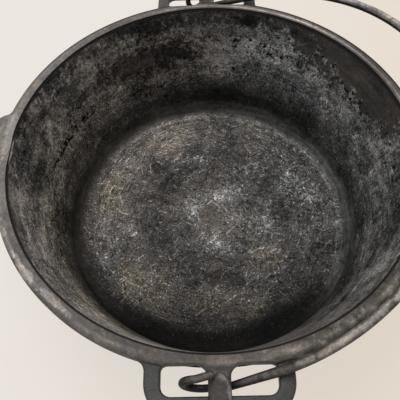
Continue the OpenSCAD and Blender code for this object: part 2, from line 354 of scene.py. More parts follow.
def soft_over(value, soft):
    """What a value is over nought, with its corner rounded."""
    return (value + math.sqrt(value * value + soft * soft)) / 2


def rim_top(pot, radius, across, slope):
    """Height of the rim's top at a radius, and across from a spout's middle."""
    fall = soft_over(radius - (pot.rim_r - pot.slope_w), 0.5 * MM) * math.tan(pot.slope_a * slope)
    top = pot.pot_h - fall
    if across is None:
        return top
    channel = pot.pot_h - pot.channel_h
    if abs(across) < pot.channel_r:
        channel += pot.channel_r - math.sqrt(pot.channel_r ** 2 - across * across)
    else:
        channel += pot.channel_r
    return top - soft_over(top - channel, 0.25 * MM)


def rim_section(pot, reach, across, slope):
    """The rim's section at one bearing: inside wall, lid seat, top, outer edge and underside."""
    rim_z = pot.pot_h - pot.rim_t
    seat_r = pot.rim_r - pot.rim_w
    ledge_r = seat_r - pot.seat_w
    ledge_z = rim_top(pot, ledge_r, across, slope) - pot.seat_h
    soft = 0.25 * MM
    edge = pot.edge_r
    under_z = rim_z
    if reach > pot.rim_r:
        under_z += (reach - pot.rim_r) / pot.spout_reach * (pot.rim_t - pot.lip_t)
    points = line((wall_in(pot, rim_z), rim_z), (ledge_r - 0.05 * MM, ledge_z - soft), 4)
    points += arc((ledge_r - soft, ledge_z - soft), soft, 0, 60, 2)
    points += [(seat_r - soft, ledge_z), (seat_r - 0.07 * MM, ledge_z + 0.07 * MM)]
    inner_top = rim_top(pot, seat_r, across, slope)
    points += arc((seat_r + 0.4 * MM, inner_top - 0.4 * MM), 0.4 * MM, 180, 90, 4)
    lip_r = reach - edge
    start_r = seat_r + 1.0 * MM
    for i in range(12):
        radius = start_r + (lip_r - start_r) * i / 11
        points.append((radius, rim_top(pot, radius, across, slope)))
    tilt = math.degrees(pot.slope_a * slope)
    lip_z = rim_top(pot, lip_r, across, slope) - edge
    points += arc((lip_r, lip_z), edge, 90 - tilt, 0, 4)
    points += arc((lip_r, under_z + edge), edge, 0, -90, 4)
    ring_r = min(pot.rim_r, reach) - 2.2 * MM
    points += line((ring_r, rim_z), (wall_in(pot, rim_z), rim_z), 3)
    return points


def make_rim(pot, ear):
    """The rim with both spouts: a quarter ring, drawn out to its edge at every bearing, and mirrored."""
    bm = bmesh.new()
    rows = spun(bm, rim_section(pot, pot.rim_r, None, 1), 360, math.pi / 2)
    made = {}
    for vert in bm.verts:
        turn = math.atan2(vert.co.y, vert.co.x)
        turn += 0.35 * math.sin(2 * turn)
        key = round(turn, 6)
        if key not in made:
            way = (abs(math.cos(turn)), abs(math.sin(turn)))
            if way[0] > way[1]:
                reach = spout_edge(pot, way, pot.rim_r)
                across = reach * way[1]
            else:
                reach, across = ear_edge(pot, ear, way), None
            share = min(1, max(0, (reach - pot.rim_r) / (4 * MM)))
            slope = 1 - share * share * (3 - 2 * share)
            if reach <= pot.rim_r:
                across = None
            made[key] = rim_section(pot, reach, across, slope)
        radius, z = made[key][vert[rows]]
        vert.co = Vector((radius * math.cos(turn), radius * math.sin(turn), z))
    for axis in "XY":
        geom = bm.verts[:] + bm.edges[:] + bm.faces[:]
        bmesh.ops.mirror(bm, geom=geom, matrix=Matrix.Identity(4), merge_dist=1e-6, axis=axis)
    return finish_mesh("rim_casting", bm)


def strip(bm, outer, inner, low, high):
    """A closed bar between two outlines of as many points, from one height to another."""
    rings = []
    for (ox, oy), (ix, iy) in zip(outer, inner):
        corners = [(ox, oy, low), (ox, oy, high), (ix, iy, high), (ix, iy, low)]
        rings.append([bm.verts.new(corner) for corner in corners])
    for ring in rings:
        for i in range(4):
            bm.edges.new((ring[i], ring[(i + 1) % 4]))
    return rings


def even(points, count):
    """As many points as asked for, evenly spaced along a line of points."""
    spans = [math.dist(a, b) for a, b in zip(points, points[1:])]
    whole = sum(spans)
    result = []
    for i in range(count):
        target = whole * i / (count - 1)
        for (a, b), span in zip(zip(points, points[1:]), spans):
            if target <= span or (a, b) == (points[-2], points[-1]):
                share = min(1, target / span)
                result.append((a[0] + (b[0] - a[0]) * share, a[1] + (b[1] - a[1]) * share))
                break
            target -= span
    return result


def make_ear(pot, ear, name, side):
    """A U-shaped ear with round edges, its two ends sunk in the rim."""
    end = pot.rim_r + ear.ear_reach
    half = ear.ear_w / 2
    leg_x = half - ear.leg_w
    loop_in = pot.rim_r - ear.bite
    loop_out = end - ear.bar_w
    root_x = half + ear.root_r
    root_y = math.sqrt((pot.rim_r + ear.root_r) ** 2 - root_x ** 2)
    bearing = math.degrees(math.atan2(root_y, root_x))
    sunk = 1.2 * MM
    touch = [part * (pot.rim_r - sunk) / (pot.rim_r + ear.root_r) for part in (root_x, root_y)]
    corner = (half - ear.corner_r, end - ear.corner_r)
    outer = [tuple(touch)] + arc((root_x, root_y), ear.root_r, 180 + bearing, 180, 10)
    outer += arc(corner, ear.corner_r, 0, 90, 18) + [(0, end)]
    leg_c = (leg_x - ear.loop_root_r, loop_in + ear.loop_root_r)
    inner = [(leg_x - 1.6 * MM, loop_in - 0.6 * MM)] + arc(leg_c, ear.loop_root_r, -52, 0, 6)
    inner += arc((leg_x - ear.loop_corner_r, loop_out - ear.loop_corner_r), ear.loop_corner_r, 0, 90, 10)
    inner += [(0, loop_out)]
    count = 60
    outer, inner = even(outer, count), even(inner, count)
    outer += [(-x, y) for x, y in outer[-2::-1]]
    inner += [(-x, y) for x, y in inner[-2::-1]]
    bm = bmesh.new()
    rings = strip(bm, outer, inner, ear.ear_z, ear.ear_top)
    for ring, after in zip(rings, rings[1:]):
        loops = [edge for edge in bm.edges if edge.verts[0] in ring and edge.verts[1] in ring]
        loops += [edge for edge in bm.edges if edge.verts[0] in after and edge.verts[1] in after]
        bmesh.ops.bridge_loops(bm, edges=loops)
    for ring in (rings[0], rings[-1]):
        bm.faces.new(ring)
    bmesh.ops.recalc_face_normals(bm, faces=bm.faces)
    long_edges = [edge for edge in bm.edges
                  if len(edge.link_faces) == 2 and edge.calc_face_angle(0) > math.radians(60)
                  and abs(edge.verts[0].co.z - edge.verts[1].co.z) < 1e-6]
    bmesh.ops.bevel(
        bm, geom=long_edges, offset=1.1 * MM, offset_type="OFFSET", affect="EDGES", segments=4,
        profile=0.5, material=-1)
    if side < 0:
        bmesh.ops.rotate(bm, verts=bm.verts, cent=(0, 0, 0), matrix=Matrix.Rotation(math.pi, 3, "Z"))
    return finish_mesh(name, bm)


def loft(bm, rings):
    """Joins rings of as many points into a closed skin."""
    loops = []
    for ring in rings:
        verts = [bm.verts.new(point) for point in ring]
        loops.append([bm.edges.new((verts[i - 1], verts[i])) for i in range(len(verts))])
    for loop, after in zip(loops, loops[1:]):
        bmesh.ops.bridge_loops(bm, edges=loop + after)
    for loop in (loops[0], loops[-1]):
        bmesh.ops.contextual_create(bm, geom=loop)


def make_lug(pot, ear, bail, name, side):
    """A lug and its neck: the neck flows out of the rim, and a bullet-shaped crest rises from it."""
    end = pot.rim_r + ear.ear_reach
    loop_in, loop_out = pot.rim_r - ear.bite, end - ear.bar_w
    pivot_z = pot.pot_h + bail.pivot_rise
    low = pivot_z - ear.lug_h / 2
    crest_z = pivot_z + ear.lug_h / 2
    nose = pot.rim_r + ear.crest_gap
    crest = (nose + ear.crest_r, crest_z - ear.crest_r)
    foot = (end - ear.foot_gap, ear.ear_top + ear.foot_h)
    gap = (foot[0] - crest[0], foot[1] - crest[1])
    slope_from = math.atan2(gap[1], gap[0]) + math.acos(ear.crest_r / math.hypot(*gap))
    tangent = (crest[0] + ear.crest_r * math.cos(slope_from), crest[1] + ear.crest_r * math.sin(slope_from))
    neck_z = pot.pot_h - pot.slope_w * math.tan(pot.slope_a)
    round_r = 1.5 * MM

    def half_width(y):
        fillet = max(0, loop_in + ear.neck_r - y)
        half = ear.neck_w / 2 + ear.neck_r - math.sqrt(max(0, ear.neck_r ** 2 - fillet ** 2))
        return max(half, ear.lug_w / 2 * min(1, max(0, (y - nose) / (loop_out - nose))))

    def neck_top(x, y, half):
        over = max(0, abs(x) - half + round_r)
        drop = round_r - math.sqrt(max(0, round_r ** 2 - over ** 2))
        flow = rim_top(pot, math.hypot(x, y), None, 1) - 0.05 * MM
        return max(flow, neck_z - 0.1 * MM) - drop - max(0, y - loop_out) * 0.6

    def lug_top(x, y):
        back = min(1, max(0, (loop_out - y) / (loop_out - nose)))
        half = ear.lug_w / 2 * math.sqrt(max(0, 1 - back * back))
        if y < nose or abs(x) > half:
            return low
        if y < tangent[0]:
            top = crest[1] + math.sqrt(max(0, ear.crest_r ** 2 - (crest[0] - y) ** 2))
        else:
            top = tangent[1] + (foot[1] - tangent[1]) * (y - tangent[0]) / (foot[0] - tangent[0])
        corner = min(ear.lug_corner_r, half)
        over = max(0, abs(x) - half + corner)
        return top - corner + math.sqrt(max(0, corner ** 2 - over ** 2))

    bm = bmesh.new()
    rings = []
    start = loop_in + 0.4 * MM
    for i in range(73):
        y = start + (foot[0] - start) * i / 72
        half = half_width(y)
        if y < pot.rim_r - 0.2 * MM:
            half = min(half, half_width(pot.rim_r) - 0.03 * MM)
        ring = []
        for k in range(41):
            x = half * math.sin(math.pi / 2 * (k / 20 - 1))
            base, rise = neck_top(x, y, half), lug_top(x, y)
            ring.append((x, y, rise + soft_over(base - rise, 0.9 * MM) if rise > low else base))
        rings.append(ring + [(half, y, low), (-half, y, low)])
    loft(bm, rings)
    if side < 0:
        bmesh.ops.rotate(bm, verts=bm.verts, cent=(0, 0, 0), matrix=Matrix.Rotation(math.pi, 3, "Z"))
    return finish_mesh(name, bm)


def bail_path(pot, ear, bail):
    """The wire's centre line and radius, from the front hook's tip round to the rear one's."""
    far = math.hypot(ear.lug_w / 2 - ear.lug_corner_r, ear.lug_h / 2 - ear.lug_corner_r)
    strand = far + ear.lug_corner_r + bail.hook_gap + bail.hook_d / 2
    bow_r = pot.rim_r + bail.bow_gap
    bow_a = math.acos((bail.shank_u - bail.bow_offset) / bow_r)
    bow_end = Vector((bail.shank_u, -bow_r * math.sin(bow_a), -strand))
    down = Vector((-math.sin(bow_a), -math.cos(bow_a), 0))
    shank_end = bow_end + bail.shank_l * down
    bend_c = shank_end + bail.shank_bend_r * Vector((-math.cos(bow_a), math.sin(bow_a), 0))
    hook_y = bend_c.y - bail.shank_bend_r
    top_y = hook_y + bail.hook_step
    thin, thick = bail.hook_d / 2, bail.wire_d / 2

    def end(hook_l):
        tip_c = Vector((-hook_l, top_y + bail.tip_bend_r, strand))
        tip_from = tip_c + bail.tip_bend_r * Vector((math.sin(bail.tip_a), -math.cos(bail.tip_a), 0))
        tip_l = (-bail.tip_u - tip_from.x) / math.cos(bail.tip_a)
        tip_way = Vector((math.cos(bail.tip_a), math.sin(bail.tip_a), 0))
        tip = tip_from + tip_l * tip_way
        points = [(tip + tip_way * thin * math.cos(a), thin * math.sin(a))
                  for a in (math.radians(4 + 86 * i / 5) for i in range(5))]
        points += [(tip.lerp(tip_from, i / 8), thin) for i in range(8)]
        for i in range(5):
            a = bail.tip_a * (1 - i / 5)
            points.append((tip_c + bail.tip_bend_r * Vector((math.sin(a), -math.cos(a), 0)), thin))
        middle = Vector((-hook_l, (hook_y + top_y) / 2, 0))
        rise = Vector((0, bail.hook_step / 2, strand))
        for i in range(25):
            a = math.pi * i / 24
            back = Vector((-rise.length * math.sin(a), 0, 0))
            points.append((middle + rise * math.cos(a) + back, thin))
        start, stop = Vector((-hook_l, hook_y, -strand)), Vector((bend_c.x, hook_y, -strand))
        points += [(start.lerp(stop, i / 8), thin) for i in range(1, 8)]
        for i in range(6):
            a = -math.pi / 2 + (math.pi / 2 - bow_a) * i / 6
            points.append((bend_c + bail.shank_bend_r * Vector((math.cos(a), math.sin(a), 0)), thin))
        for i in range(12):
            points.append((shank_end.lerp(bow_end, i / 12), thin + (thick - thin) * i / 12))
        return points

    front, rear = end(bail.front_hook_l), end(bail.rear_hook_l)
    bow = []
    for i in range(181):
        a = -bow_a + 2 * bow_a * i / 180
        bow.append((Vector((bail.bow_offset + bow_r * math.cos(a), bow_r * math.sin(a), -strand)), thick))
    flip = [(Vector((p.x, -p.y, p.z)), r) for p, r in reversed(rear)]
    return front + bow + flip


def make_bail(pot, ear, bail):
    """The wire bail: a round tube along its path, slightly uneven as forged wire is."""
    path = bail_path(pot, ear, bail)
    turn = Matrix.Translation((0, 0, pot.pot_h + bail.pivot_rise)) @ Matrix.Rotation(-bail.lean, 4, "Y")
    bm = bmesh.new()
    count = 24
    rings = []
    rises = []
    up = Vector((0, 0, 1))
    for i, (point, radius) in enumerate(path):
        before, after = path[max(0, i - 1)][0], path[min(len(path) - 1, i + 1)][0]
        way = (after - before).normalized()
        side = up.cross(way)
        side = side.normalized() if side.length > 0.3 else last_side
        side = (side - way * side.dot(way)).normalized()
        if i and side.dot(last_side) < 0:
            side.negate()
        last_side = side
        over = way.cross(side)
        worn = radius * (1 - 0.03 * (0.5 + 0.5 * noise.noise(point / (9 * MM))))
        ring = []
        for k in range(count):
            a = math.tau * k / count
            out = side * math.cos(a) + over * math.sin(a)
            ring.append(turn @ (point + out * worn))
            rises.append((turn.to_3x3() @ out).z)
        rings.append(ring)
    loft(bm, rings)
    layer = bm.verts.layers.float.new("rise")
    for vert, rise in zip(bm.verts, rises):
        vert[layer] = rise
    return finish_mesh("bail_wire", bm)


class Value:
    """A number in a shader, which the usual signs work on."""

    def __init__(self, paint, socket):
        self.paint = paint
        self.socket = socket

    def __add__(self, other):
        return self.paint.math("ADD", self, other)

    def __sub__(self, other):
        return self.paint.math("SUBTRACT", self, other)

    def __mul__(self, other):
        return self.paint.math("MULTIPLY", self, other)

    def __truediv__(self, other):
        return self.paint.math("DIVIDE", self, other)

    def __pow__(self, other):
        return self.paint.math("POWER", self, other)

    def __rsub__(self, other):
        return self.paint.math("SUBTRACT", other, self)

    def __rtruediv__(self, other):
        return self.paint.math("DIVIDE", other, self)

    __radd__ = __add__
    __rmul__ = __mul__


class Paint:
    """A material, and the nodes that its look is worked out with. Lengths are in millimetres."""

    def __init__(self, name, cloud=26, mottle=9, blotch=3.2, grain=1.3):
        self.material = bpy.data.materials.new(name)
        self.material.use_nodes = True
        self.tree = self.material.node_tree
        self.tree.nodes.clear()
        self.output = self.node("ShaderNodeOutputMaterial")
        place = self.node("ShaderNodeTexCoord").outputs["Object"]
        self.place = self.vector("SCALE", place, 1 / MM)
        parts = self.node("ShaderNodeSeparateXYZ", inputs={"Vector": self.place})
        self.x, self.y, self.z = (Value(self, out) for out in parts.outputs)
        self.flat = self.vector("MULTIPLY", self.place, (1, 1, 0))
        self.radius = self.size_of(self.flat)
        self.way = self.vector("NORMALIZE", self.flat)
        self.cloud = self.swing(cloud, 3, 0.55)
        self.mottle = self.swing(mottle, 4, 0.6, shift=1)
        self.blotch = self.swing(blotch, 4, 0.65, shift=2)
        self.grain = self.swing(grain, 2, 0.6, shift=3)
        self.ragged = self.mottle * 2.6 + self.blotch * 1.6

    def node(self, kind, settings=None, inputs=None):
        """A node of a kind, with its settings made first and its sockets set or linked."""
        made = self.tree.nodes.new(kind)
        for key, value in (settings or {}).items():
            setattr(made, key, value)
        for key, value in (inputs or {}).items():
            if isinstance(value, Value):
                value = value.socket
            if isinstance(value, bpy.types.NodeSocket):
                self.tree.links.new(value, made.inputs[key])
            else:
                made.inputs[key].default_value = value
        return made

    def math(self, operation, *values, clamp=False):
        made = self.node("ShaderNodeMath", {"operation": operation, "use_clamp": clamp}, dict(enumerate(values)))
        return Value(self, made.outputs[0])

    def vector(self, operation, first, second=None):
        inputs = {0: first}
        if second is not None:
            inputs["Scale" if operation == "SCALE" else 1] = second
        return self.node("ShaderNodeVectorMath", {"operation": operation}, inputs).outputs[0]

    def size_of(self, vector):
        made = self.node("ShaderNodeVectorMath", {"operation": "LENGTH"}, {0: vector})
        return Value(self, made.outputs["Value"])

    def clamp(self, value):
        return self.math("ADD", value, 0.0, clamp=True)

    def step(self, value, low, high):
        """0 below low, 1 above high and smooth between. It runs the other way if low is above high."""
        inputs = {"Value": value, "From Min": low, "From Max": high}
        made = self.node("ShaderNodeMapRange", {"interpolation_type": "SMOOTHSTEP"}, inputs)
        return Value(self, made.outputs[0])

    def between(self, value, low, high, soft):
        """1 between low and high, with soft edges."""
        return self.step(value, low - soft, low + soft) * self.step(value, high + soft, high - soft)

    def colours(self, factor, first, second):
        made = self.node(
            "ShaderNodeMix", {"data_type": "RGBA", "clamp_factor": True}, {0: factor, 6: first, 7: second})
        return made.outputs[2]

    def mix(self, factor, first, second):
        """A number that goes from first to second with the factor."""
        made = self.node(
            "ShaderNodeMix", {"data_type": "FLOAT", "clamp_factor": True}, {0: factor, 2: first, 3: second})
        return Value(self, made.outputs[0])

    def swing(self, size, detail=3.0, rough=0.55, shift=0.0, place=None):
        """Cloudy noise on both sides of nought, whose lumps are about size across."""
        place = self.place if place is None else place
        if shift:
            place = self.vector("ADD", place, (shift * 13.0, shift * 7.0, shift * 5.0))
        made = self.node("ShaderNodeTexNoise", {}, {
            "Vector": place, "Scale": 1 / size, "Detail": detail, "Roughness": rough})
        return Value(self, made.outputs[0]) - 0.5

    def cells(self, size, shift=0.0):
        """Distance from the nearest of scattered points about size apart."""
        place = self.vector("ADD", self.place, (shift * 11.0, shift * 3.0, shift * 17.0))
        made = self.node("ShaderNodeTexVoronoi", {}, {"Vector": place, "Scale": 1 / size})
        return Value(self, made.outputs["Distance"])

    def facing(self, bearing):
        """Cosine of the angle round the pot to a bearing, in degrees from the front towards +X."""
        a = math.radians(bearing)
        towards = (math.sin(a), -math.cos(a), 0)
        made = self.node("ShaderNodeVectorMath", {"operation": "DOT_PRODUCT"}, {0: self.way, 1: towards})
        return Value(self, made.outputs["Value"])

    def sector(self, bearing, spread, soft):
        """1 within spread degrees of a bearing round the pot, with soft edges."""
        outer = math.cos(math.radians(min(179, spread + soft)))
        inner = math.cos(math.radians(max(0, spread - soft)))
        return self.step(self.facing(bearing), outer, inner)

    def patch(self, bearing, spread, along, middle, half, soft=0.4):
        """1 on a ragged oval: a bearing and its spread in degrees, and the middle and half of its height."""
        turn = self.math("ARCCOSINE", self.facing(bearing)) * (180 / math.pi / spread)
        rise = (along - middle) * (1 / half)
        far = (turn * turn + rise * rise) ** 0.5 + self.ragged
        return self.step(far, 1 + soft, 1 - soft)

    def spot(self, x, y, long, wide, turn=0, soft=0.4):
        """1 on a ragged oval on the floor, of two half sizes and turned by degrees."""
        mapped = self.node("ShaderNodeMapping", {"vector_type": "TEXTURE"}, {
            "Vector": self.flat, "Location": (x, y, 0), "Rotation": (0, 0, math.radians(turn)),
            "Scale": (long, wide, 1)})
        return self.step(self.size_of(mapped.outputs[0]) + self.ragged, 1 + soft, 1 - soft)

    def rings(self, around, across, shift=0.0, twist=0.0, detail=3):
        """Streaks round the pot's axis, on both sides of nought. A twist in degrees a mm makes them spirals."""
        ring = self.vector("SCALE", self.way, around)
        if twist:
            turn = (self.radius + self.mottle * 8) * math.radians(twist)
            ring = self.node("ShaderNodeVectorRotate", {"rotation_type": "Z_AXIS"}, {
                "Vector": ring, "Angle": turn}).outputs[0]
        height = self.node("ShaderNodeCombineXYZ", {}, {2: self.radius * across})
        place = self.vector("ADD", ring, height.outputs[0])
        return self.swing(1, detail, 0.65, shift, place)

    def unrolled(self):
        """The wall laid flat: the way round it from the front, and the height."""
        turn = self.math("ARCTAN2", self.x, self.y) * 112
        return self.node("ShaderNodeCombineXYZ", {}, {0: turn, 1: self.z}).outputs[0]

    def scratches(self, turns, width, run, sparse, place=None):
        """Fine scratches in a few directions, slightly bent: 1 on a scratch and 0 beside it."""
        bend = self.node("ShaderNodeTexNoise", {}, {
            "Vector": self.place, "Scale": 1 / 55, "Detail": 1.0, "Roughness": 0.5})
        push = self.vector("SCALE", self.vector("SUBTRACT", bend.outputs["Color"], (0.5, 0.5, 0.5)), 34.0)
        place = self.vector("ADD", self.flat if place is None else place, push)
        most = 0.0
        for number, turn in enumerate(turns):
            mapped = self.node("ShaderNodeMapping", {"vector_type": "TEXTURE"}, {
                "Vector": place, "Rotation": (0, 0, math.radians(turn)), "Location": (number * 9.0, number * 23.0, 0),
                "Scale": (run, width, 1)})
            line = self.swing(1, 0, 0.5, place=mapped.outputs[0])
            most = self.math("MAXIMUM", self.step(line, sparse, sparse + 0.07), most)
        return most

    def surface(self, tone, colour, roughness, height, depth, metallic=0.0, gloss=0.5):
        """Ends the material: a screen tone times a tint, with roughness, gloss and relief."""
        base = self.vector("SCALE", colour, self.clamp(tone) ** 2.2)
        bump = self.node("ShaderNodeBump", {}, {
            "Height": height, "Strength": 1.0, "Distance": depth * MM})
        shader = self.node("ShaderNodeBsdfPrincipled", {}, {
            "Base Color": base, "Roughness": roughness, "Normal": bump.outputs[0], "Metallic": metallic,
            "Specular IOR Level": gloss})
        self.tree.links.new(shader.outputs[0], self.output.inputs[0])
        return self.material


def solid(colour):
    """A colour property with its alpha, as a shader socket takes it."""
    return (*colour, 1.0)


# Patches of the inside wall: bearing and spread in degrees, depth and half height in mm, and change of tone
WALL_PATCHES = (
    (322, 36, 14, 44, 0.30),
    (332, 20, 12, 30, 0.18),
    (128, 20, 64, 12, -0.06),
    (96, 30, 56, 16, 0.06),
    (150, 20, 28, 11, 0.30),
    (108, 16, 40, 10, 0.06),
    (100, 6, 52, 10, -0.25),
    # Painted shade under the far rim
    (180, 66, 0, 11, -0.38),
    (182, 24, 15, 9, -0.16),
    (238, 14, 22, 11, -0.16),
    (288, 24, 2, 9, -0.20),
    (118, 24, 7, 19, -0.24),
    (265, 50, 34, 60, 0.13),
    (210, 24, 34, 13, -0.20),
    (204, 18, 31, 10, -0.34),
    (203, 9, 44, 5, -0.26),
    (270, 16, 32, 6, -0.22),
    (267, 5, 33, 5, -0.30),
    (262, 26, 56, 10, 0.16),
    (262, 16, 10, 12, -0.18),
    (165, 4, 7, 4, -0.50),
    (147, 5, 8, 4, -0.45),
    (55, 24, 46, 8, -0.18),
    (72, 16, 32, 16, -0.16),
    (118, 7, 12, 2.5, 0.50),
    (152, 7, 4, 3, 0.34),
)

# Patches of the floor: middle, half sizes and turn, change of tone, and share of tan
FLOOR_SPOTS = (
    (-78, 22, 24, 13, 70, 0.22, 1.0),
    (-37, 72, 26, 11, 20, 0.16, 0.8),
    (-47, -56, 24, 13, -42, 0.30, 1.0),
    (-1, -67, 17, 9, 0, 0.24, 0.8),
    (25, -76, 14, 6, 15, 0.30, 0.8),
    (38, -37, 16, 10, 30, 0.24, 0.9),
    (-36, 23, 14, 8, 60, -0.20, 0.0),
    (-49, 42, 12, 7, 40, -0.20, 0.0),
    (6, -53, 12, 7, 0, -0.24, 0.0),
    (42, -79, 15, 7, 30, -0.30, 0.0),
    (48, 30, 12, 7, 60, -0.22, 0.0),
    (54, 2, 10, 6, 70, -0.18, 0.0),
)

# Where pale flecks gather on the floor: middle, half sizes and turn
FLECK_SPOTS = (
    (12, 18, 15, 7, 20),
    (-12, 4, 7, 11, 10),
    (4, -26, 16, 6, -15),
    (62, 28, 15, 11, 40),
    (40, -10, 13, 7, -30),
    (32, 42, 12, 6, 10),
    (78, 14, 8, 9, 80),
    (-10, 52, 13, 5, 0),
)

# Patches of the rim: bearing and spread in degrees, radius and half width in mm, and change of tone
RIM_PATCHES = (
    (297, 6, 129, 2.0, 0.42),
    (308, 5, 127.6, 2.2, 0.52),
    (319, 5, 125.8, 2.0, 0.44),
    (265, 8, 127, 5, 0.34),
    (336, 9, 128, 2.2, 0.22),
    (1, 4, 125, 3, 0.30),
    (15, 6, 126.3, 2.6, 0.30),
    (31, 8, 125.5, 3, 0.24),
    (45, 6, 127, 2, 0.22),
    (158, 16, 125.5, 2.5, 0.30),
    (140, 20, 124.8, 1.6, 0.25),
)


def wall_iron(p, pot, look):
    """Tone, tint and roughness of the inside wall, which the rim's inner side shares."""
    depth = pot.pot_h / MM - p.z
    calm = p.sector(0, 26, 12)
    scale = p.swing(6, 6, 0.74, shift=6)
    crust = p.swing(4, 6, 0.74, shift=8)
    flakes = p.step(scale + p.cloud * 0.6, 0.03, 0.07) * 0.34
    holes = p.step(crust - p.cloud * 0.4, 0.07, 0.11) * 0.36
    rough = p.cloud * 0.6 + p.mottle * 0.8 + p.blotch * 1.2 + p.grain * 2.4 + flakes - holes
    tone = 0.365 * (1 + rough * (1 - calm * 0.75)) * (1 + calm * 0.12)
    smooth = p.patch(121, 26, depth, 4, 22, 0.10)
    for bearing, spread, middle, half, change in WALL_PATCHES:
        tone = tone * (1 + p.patch(bearing, spread, depth, middle, half, 0.25) * change)
    tone = p.mix(smooth * 0.85, tone, 0.27 * (1 + p.cloud * 0.6 + p.blotch * 0.5))
    # Darker low on the wall, most at the far side and not at the front: partly painted shade deep in the pot, partly
    # dark seasoning
    sunk = 0.36 + p.sector(166, 30, 22) * 0.30 - calm * 0.36
    tone = tone * (1 - sunk * p.step(depth + p.ragged * 5, 50, 76))
    laid = p.unrolled()
    lines = p.scratches((14, 55, 112, 160), 1.4, 17, 0.24, laid)
    lines = lines * p.step(depth, 30, 50) * (1 - calm)
    fine_way = p.node("ShaderNodeMapping", {}, {"Vector": laid, "Scale": (1 / 30, 1 / 1.7, 1)})
    streaks = p.swing(1, 3, 0.6, place=fine_way.outputs[0]) * (p.sector(5, 78, 14) * 0.8 + 0.4)
    broad_way = p.node("ShaderNodeMapping", {}, {"Vector": laid, "Scale": (1 / 36, 1 / 7, 1)})
    bands = p.swing(1, 5, 0.68, 3, broad_way.outputs[0])
    tone = tone * (1 + lines * 0.5 + (streaks * 1.1 + bands * 0.9) * (1 - calm * 0.6))
    left_row = p.between(depth + p.ragged * 1.2, 44.5, 50, 1.5) * p.sector(249, 17, 5)
    rows = p.between(depth + p.ragged * 2, 21, 34, 3) * p.sector(145, 62, 8) + left_row
    rows = rows + p.between(depth + p.ragged * 2, 45, 50, 2) * p.sector(174, 8, 4)
    edge = p.between(p.patch(121, 26, depth, 4, 24, 0.5), 0.3, 0.7, 0.1)
    pits = p.swing(3.8, 4, 0.7, shift=9) + p.mottle * 0.3 + left_row * 0.09
    pits = p.step(pits, 0.075, 0.10) * p.clamp(rows + edge)
    tone = p.mix(pits, tone, 0.05)
    brown = p.clamp(p.step(p.cloud + p.mottle * 0.7, -0.06, 0.12) * 0.6 + pits * 0.6)
    brown = p.clamp(brown + p.patch(203, 22, depth, 38, 24) + smooth * p.step(p.cloud, -0.1, 0.1))
    colour = p.colours(brown, solid(look.seasoning), solid(look.brown))
    cool = p.sector(110, 60, 20) * (1 - smooth) * 0.6
    colour = p.colours(cool, colour, solid(look.bare))
    oily = p.sector(280, 66, 30) * (p.step(depth, 10, 50) * 0.7 + 0.3)
    colour = p.colours(oily, colour, solid(look.oil))
    relief = p.mottle * 0.8 + p.blotch * 0.9 + scale * 1.2 + p.grain * 0.5 - pits * 0.8 - holes
    return tone, colour, 0.8 - smooth * 0.25 + p.grain * 0.3, relief * (1 - smooth * 0.7)


